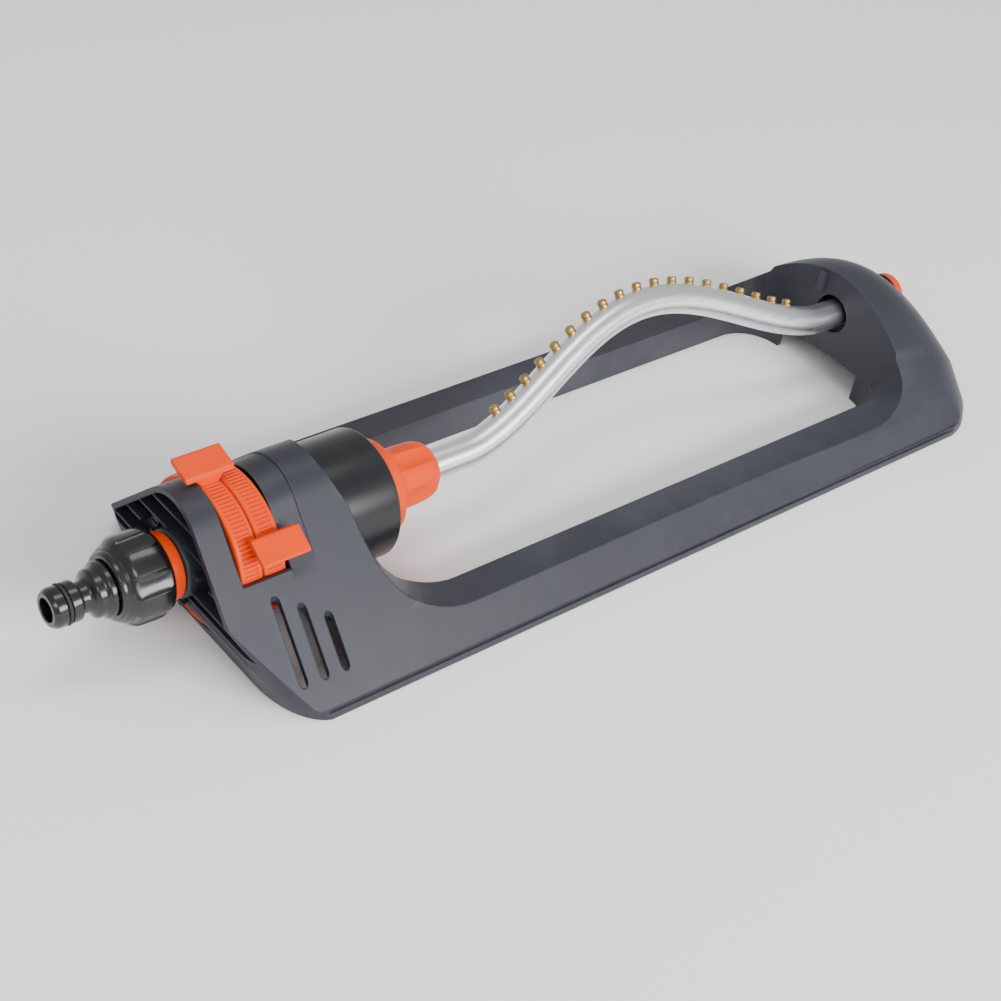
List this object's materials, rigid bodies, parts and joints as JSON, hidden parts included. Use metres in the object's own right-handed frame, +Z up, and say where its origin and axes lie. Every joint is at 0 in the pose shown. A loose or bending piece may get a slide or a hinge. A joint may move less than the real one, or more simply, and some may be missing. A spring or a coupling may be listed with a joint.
{
  "type": "oscillating lawn sprinkler",
  "caption": "Oscillating lawn sprinkler: moulded sled frame, geared water motor in a drum, arched metal spray tube with brass nozzles, two orange range rings and a push-fit hose nose.",
  "frame": {"origin": "centre of the bounding box, on the ground", "axes": "+X from the hose inlet to the far bearing, along the swing axis; +Z up; +Y to the back"},
  "size_m": [0.5254, 0.155, 0.0806],
  "materials": {
    "frame_plastic": "fine moulded texture",
    "housing_plastic": "satin",
    "coupling_plastic": "glossy",
    "orange_plastic": "semi-gloss",
    "white_nylon": "natural",
    "black_rubber": "dull",
    "tube_metal": "satin anodised",
    "nozzle_brass": "turned",
    "steel": "bright"
  },
  "bodies": {
    "chassis": {"sled_frame": "frame_plastic", "drive_housing": "housing_plastic", "housing_back_cover": "housing_plastic", "housing_screw_1": "steel", "housing_screw_2": "steel", "housing_screw_3": "steel", "output_bearing": "white_nylon", "output_seal": "black_rubber", "inlet_spigot": "orange_plastic", "inlet_washer": "black_rubber", "inlet_filter": "white_nylon", "hose_nipple": "coupling_plastic", "nipple_o_ring": "black_rubber", "jet_plate": "housing_plastic", "lever_pivot_pin": "steel", "gear_plate_rear": "housing_plastic", "gear_plate_front": "housing_plastic", "gear_post_1": "steel", "gear_post_2": "steel", "gear_post_3": "steel", "lay_gear_pin": "steel", "end_bearing": "housing_plastic"},
    "spray_arm": {"spray_tube": "tube_metal", "tube_collar": "orange_plastic", "output_shaft": "housing_plastic", "output_gear": "white_nylon", "end_plug": "orange_plastic", "plug_o_ring": "black_rubber", "nozzle_01": "nozzle_brass", "nozzle_02": "nozzle_brass", "nozzle_03": "nozzle_brass", "nozzle_04": "nozzle_brass", "nozzle_05": "nozzle_brass", "nozzle_06": "nozzle_brass", "nozzle_07": "nozzle_brass", "nozzle_08": "nozzle_brass", "nozzle_09": "nozzle_brass", "nozzle_10": "nozzle_brass", "nozzle_11": "nozzle_brass", "nozzle_12": "nozzle_brass", "nozzle_13": "nozzle_brass", "nozzle_14": "nozzle_brass", "nozzle_15": "nozzle_brass", "nozzle_16": "nozzle_brass", "nozzle_17": "nozzle_brass", "nozzle_18": "nozzle_brass", "nozzle_19": "nozzle_brass"},
    "turbine": {"turbine_wheel": "white_nylon", "turbine_shaft": "steel"},
    "lay_gear_cluster": {"lay_gear": "white_nylon"},
    "flip_lever": {"reversing_lever": "orange_plastic"},
    "front_range_ring": {"range_ring_front": "orange_plastic"},
    "rear_range_ring": {"range_ring_rear": "orange_plastic"},
    "hose_coupling_nut": {"coupling_nut": "coupling_plastic"}
  },
  "joints": [
    {"name": "spray_swing", "type": "hinge", "parent": "chassis", "child": "spray_arm", "pos_m": [-0.10925, 0, 0.038], "axis": [1, 0, 0], "range_deg": [-22, 88]},
    {"name": "turbine_spin", "type": "hinge", "parent": "chassis", "child": "turbine", "pos_m": [-0.17525, 0, 0.038], "axis": [1, 0, 0], "range_deg": [-200, 794]},
    {"name": "lay_gear_spin", "type": "hinge", "parent": "chassis", "child": "lay_gear_cluster", "pos_m": [-0.14925, -0.01353, 0.03308], "axis": [1, 0, 0], "range_deg": [-266, 68]},
    {"name": "lever_flip", "type": "hinge", "parent": "chassis", "child": "flip_lever", "pos_m": [-0.18625, 0, 0.059], "axis": [1, 0, 0], "range_deg": [-12, 12]},
    {"name": "front_ring_turn", "type": "hinge", "parent": "chassis", "child": "front_range_ring", "pos_m": [-0.17745, 0, 0.038], "axis": [1, 0, 0], "range_deg": [-36, 6]},
    {"name": "rear_ring_turn", "type": "hinge", "parent": "chassis", "child": "rear_range_ring", "pos_m": [-0.18855, 0, 0.038], "axis": [1, 0, 0], "range_deg": [-44, 0]},
    {"name": "nut_turn", "type": "hinge", "parent": "chassis", "child": "hose_coupling_nut", "pos_m": [-0.22425, 0, 0.038], "axis": [1, 0, 0], "continuous": true}
  ],
  "couplings": [
    {"joint": "turbine_spin", "follows": "spray_swing", "ratio": 9},
    {"joint": "lay_gear_spin", "follows": "spray_swing", "ratio": -3}
  ]
}
